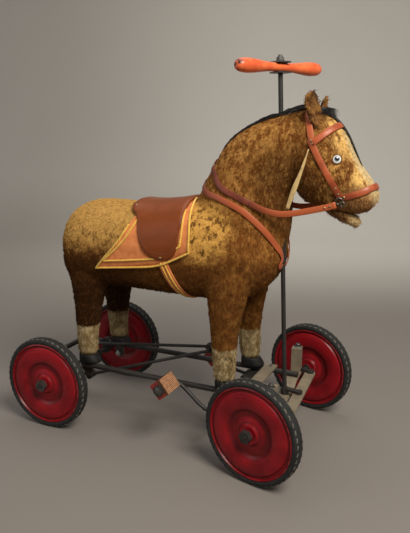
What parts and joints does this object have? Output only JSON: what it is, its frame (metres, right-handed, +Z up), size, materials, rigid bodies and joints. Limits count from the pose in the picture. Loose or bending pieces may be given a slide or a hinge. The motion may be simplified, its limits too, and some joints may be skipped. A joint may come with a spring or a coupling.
{
  "type": "ride-on horse on wheels",
  "caption": "Stuffed plush horse with saddle and bridle on a rod frame with red disc wheels, pedal cranks driving the rear axle and a handlebar column steering the front wheels.",
  "frame": {"origin": "on the floor, on the centre line, midway between the rearmost tyre and the nose", "axes": "+X forward, the way the horse faces; +Y to the horse's left; +Z up"},
  "size_m": [0.7551, 0.4182, 0.775],
  "materials": {
    "frame_iron": "worn dark enamel on rod iron",
    "bracket_iron": "worn grey-olive enamel",
    "bare_steel": "dulled, lightly rusted",
    "red_enamel": "red enamel with wear",
    "tyre_rubber": "hard grey rubber with moulded dashes",
    "mohair": "worn golden-brown mohair plush",
    "mane_hair": "black hair",
    "hoof_cloth": "black, dull",
    "eye_glass": "white glass with dark pupil",
    "saddle_leather": "glossy red-brown leather",
    "cloth_felt": "salmon felt with yellow braid",
    "strap_leather": "terracotta leatherette",
    "ring_metal": "polished wire",
    "handle_wood": "orange-red lacquer, worn dark at the ends",
    "pedal_wood": "dark red lacquer",
    "tread_rubber": "ribbed orange-brown rubber"
  },
  "bodies": {
    "chassis": {"rail_left": "frame_iron", "rail_right": "frame_iron", "rear_cross_bar": "frame_iron", "front_cross_strip": "bracket_iron", "axle_beam": "bracket_iron", "steering_heads": "bracket_iron", "axle_bearings": "frame_iron", "foot_clamps": "bare_steel", "pedal_bracket": "frame_iron", "guide_tube": "frame_iron", "torso": "mohair", "neck": "mohair", "head": "mohair", "lower_jaw": "mohair", "ears": "mohair", "leg_front_left": "mohair", "leg_front_right": "mohair", "leg_rear_left": "mohair", "leg_rear_right": "mohair", "hooves": "hoof_cloth", "mane": "mane_hair", "forelock": "mane_hair", "eyes": "eye_glass", "saddle": "saddle_leather", "saddle_cloth": "cloth_felt", "girth": "cloth_felt", "breast_strap": "strap_leather", "bridle": "strap_leather", "reins": "strap_leather", "bit_rings": "ring_metal"},
    "steering": {"column": "frame_iron", "drop_arm": "frame_iron", "handlebar": "handle_wood", "clamp_plates": "bare_steel", "handle_nut": "bare_steel"},
    "knuckle_left": {"stub_axle_left": "bracket_iron"},
    "knuckle_right": {"stub_axle_right": "bracket_iron"},
    "track_rod": {"track_rod": "bracket_iron"},
    "front_wheel_left": {"front_disc_left": "red_enamel", "front_tyre_left": "tyre_rubber"},
    "front_wheel_right": {"front_disc_right": "red_enamel", "front_tyre_right": "tyre_rubber"},
    "rear_axle": {"crank_axle": "frame_iron", "rear_disc_left": "red_enamel", "rear_disc_right": "red_enamel", "rear_tyre_left": "tyre_rubber", "rear_tyre_right": "tyre_rubber", "rear_hub_nuts": "bare_steel"},
    "drive_rod_left": {"drive_rod_left": "frame_iron"},
    "drive_rod_right": {"drive_rod_right": "frame_iron"},
    "pedal_lever_left": {"pedal_shaft_left": "frame_iron", "rocker_arm_left": "frame_iron", "pedal_arm_left": "frame_iron"},
    "pedal_lever_right": {"pedal_shaft_right": "frame_iron", "rocker_arm_right": "frame_iron", "pedal_arm_right": "frame_iron"},
    "pedal_left": {"pedal_block_left": "pedal_wood", "pedal_tread_left": "tread_rubber"},
    "pedal_right": {"pedal_block_right": "pedal_wood", "pedal_tread_right": "tread_rubber"}
  },
  "joints": [
    {"name": "steer", "type": "hinge", "parent": "chassis", "child": "steering", "pos_m": [0.21356, 0, 0.105], "axis": [-0.0436, 0, 0.999], "range_deg": [-9, 35]},
    {"name": "knuckle_left_turn", "type": "hinge", "parent": "chassis", "child": "knuckle_left", "pos_m": [0.20547, 0.11572, 0.12], "axis": [0, 0, 1], "range_deg": [-9, 35]},
    {"name": "knuckle_right_turn", "type": "hinge", "parent": "chassis", "child": "knuckle_right", "pos_m": [0.22165, -0.11572, 0.12], "axis": [0, 0, 1], "range_deg": [-9, 35]},
    {"name": "track_rod_turn", "type": "hinge", "parent": "knuckle_left", "child": "track_rod", "pos_m": [0.23762, 0.10829, 0.112], "axis": [0, 0, 1], "range_deg": [-35, 9]},
    {"name": "front_wheel_left_spin", "type": "hinge", "parent": "knuckle_left", "child": "front_wheel_left", "pos_m": [0.21941, 0.17613, 0.101], "axis": [0.225, 0.9744, 0], "continuous": true},
    {"name": "front_wheel_right_spin", "type": "hinge", "parent": "knuckle_right", "child": "front_wheel_right", "pos_m": [0.2077, -0.17613, 0.101], "axis": [0.225, 0.9744, 0], "continuous": true},
    {"name": "rear_axle_spin", "type": "hinge", "parent": "chassis", "child": "rear_axle", "pos_m": [-0.27644, 0, 0.101], "axis": [0, 1, 0], "continuous": true},
    {"name": "drive_rod_left_turn", "type": "hinge", "parent": "rear_axle", "child": "drive_rod_left", "pos_m": [-0.30119, 0.031, 0.12575], "axis": [0, 1, 0], "continuous": true},
    {"name": "drive_rod_right_turn", "type": "hinge", "parent": "rear_axle", "child": "drive_rod_right", "pos_m": [-0.2517, -0.031, 0.07625], "axis": [0, 1, 0], "continuous": true},
    {"name": "pedal_lever_right_swing", "type": "hinge", "parent": "chassis", "child": "pedal_lever_right", "pos_m": [0.09556, -0.108, 0.088], "axis": [0, 1, 0], "range_deg": [-30, 9.5]},
    {"name": "pedal_lever_left_swing", "type": "hinge", "parent": "chassis", "child": "pedal_lever_left", "pos_m": [0.09556, 0.108, 0.088], "axis": [0, 1, 0], "range_deg": [-9.5, 30]},
    {"name": "pedal_right_spin", "type": "hinge", "parent": "pedal_lever_right", "child": "pedal_right", "pos_m": [0.00756, -0.1384, 0.14], "axis": [0, 1, 0], "continuous": true},
    {"name": "pedal_left_spin", "type": "hinge", "parent": "pedal_lever_left", "child": "pedal_left", "pos_m": [-0.00525, 0.1384, 0.10489], "axis": [0, 1, 0], "continuous": true}
  ],
  "couplings": [
    {"joint": "knuckle_left_turn", "follows": "steer", "ratio": 1},
    {"joint": "knuckle_right_turn", "follows": "steer", "ratio": 1},
    {"joint": "track_rod_turn", "follows": "steer", "ratio": -1},
    {"joint": "drive_rod_left_turn", "follows": "rear_axle_spin", "ratio": -1},
    {"joint": "drive_rod_right_turn", "follows": "rear_axle_spin", "ratio": -1},
    {"joint": "pedal_lever_left_swing", "follows": "pedal_lever_right_swing", "ratio": -1}
  ]
}
